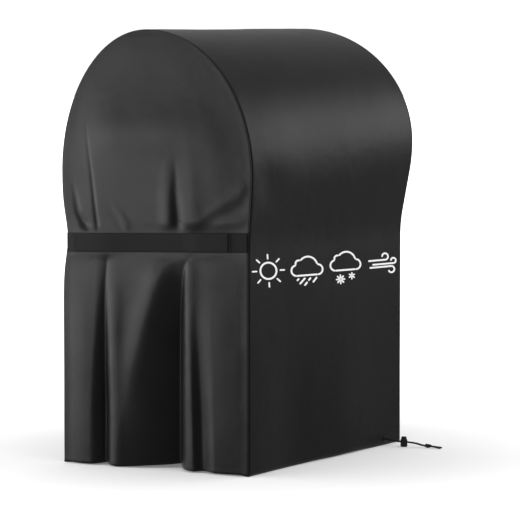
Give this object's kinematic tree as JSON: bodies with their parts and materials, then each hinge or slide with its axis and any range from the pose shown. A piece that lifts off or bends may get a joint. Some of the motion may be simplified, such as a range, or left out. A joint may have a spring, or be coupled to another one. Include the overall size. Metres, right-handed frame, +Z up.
{
  "type": "grill cover",
  "caption": "Fitted arch-top cover for a cart grill with side straps, a drawcord hem with a cord lock, and a row of weather symbols printed on the front.",
  "frame": {"origin": "on the ground under the middle of the cover's hem", "axes": "+X along the cover's length, -Y towards the printed front, +Z up"},
  "size_m": [0.8002, 0.7335, 1.0925],
  "materials": {
    "coated_cloth": "black polyester cloth, PVC-backed, low sheen",
    "seam_binding": "woven binding tape",
    "webbing": "woven strap webbing, matt",
    "hook_tape": "hook tape, stiff bristle",
    "loop_tape": "loop tape, soft nap",
    "print_ink": "white screen-print ink, matt",
    "cord": "braided polyester cord",
    "lock_plastic": "moulded nylon, satin",
    "eyelet_metal": "black enamelled brass",
    "spring_steel": "spring steel wire"
  },
  "bodies": {
    "cover": {"main_panel": "coated_cloth", "hem_front": "coated_cloth", "hem_back": "coated_cloth", "hem_left": "coated_cloth", "hem_right": "coated_cloth", "cord_eyelet": "eyelet_metal", "drawcord_in_hem": "cord", "drawcord_strand_a": "cord", "drawcord_strand_b": "cord", "cord_knot": "cord", "sun_print": "print_ink", "rain_cloud_print": "print_ink", "snow_cloud_print": "print_ink", "wind_print": "print_ink", "left_gusset": "coated_cloth", "left_seam_tape": "seam_binding", "left_strap_tab": "webbing", "left_strap_band": "webbing", "left_loop_pad": "loop_tape", "right_gusset": "coated_cloth", "right_seam_tape": "seam_binding", "right_strap_tab": "webbing", "right_strap_band": "webbing", "right_loop_pad": "loop_tape"},
    "left_strap_flap": {"left_strap_end": "webbing", "left_hook_pad": "hook_tape"},
    "right_strap_flap": {"right_strap_end": "webbing", "right_hook_pad": "hook_tape"},
    "cord_lock": {"cord_lock_barrel": "lock_plastic", "cord_lock_spring": "spring_steel"},
    "cord_lock_button": {"cord_lock_plunger": "lock_plastic"}
  },
  "joints": [
    {"name": "left_strap_peel", "type": "hinge", "parent": "cover", "child": "left_strap_flap", "pos_m": [-0.4001, -0.14753, 0.57043], "axis": [0, -0.03, -0.9996], "range_deg": [0, 150]},
    {"name": "right_strap_peel", "type": "hinge", "parent": "cover", "child": "right_strap_flap", "pos_m": [0.4001, -0.14753, 0.57043], "axis": [0, 0.03, 0.9996], "range_deg": [0, 150]},
    {"name": "cord_lock_slide", "type": "slide", "parent": "cover", "child": "cord_lock", "axis": [0.0423, -0.9991, 0], "range_m": [-0.01, 0.01]},
    {"name": "cord_lock_press", "type": "slide", "parent": "cord_lock", "child": "cord_lock_button", "axis": [0, 0, -1], "range_m": [0, 0.0038], "stiffness_N_per_m": 900, "springref_m": -0.002, "deforming": ["cord_lock_spring"]}
  ]
}
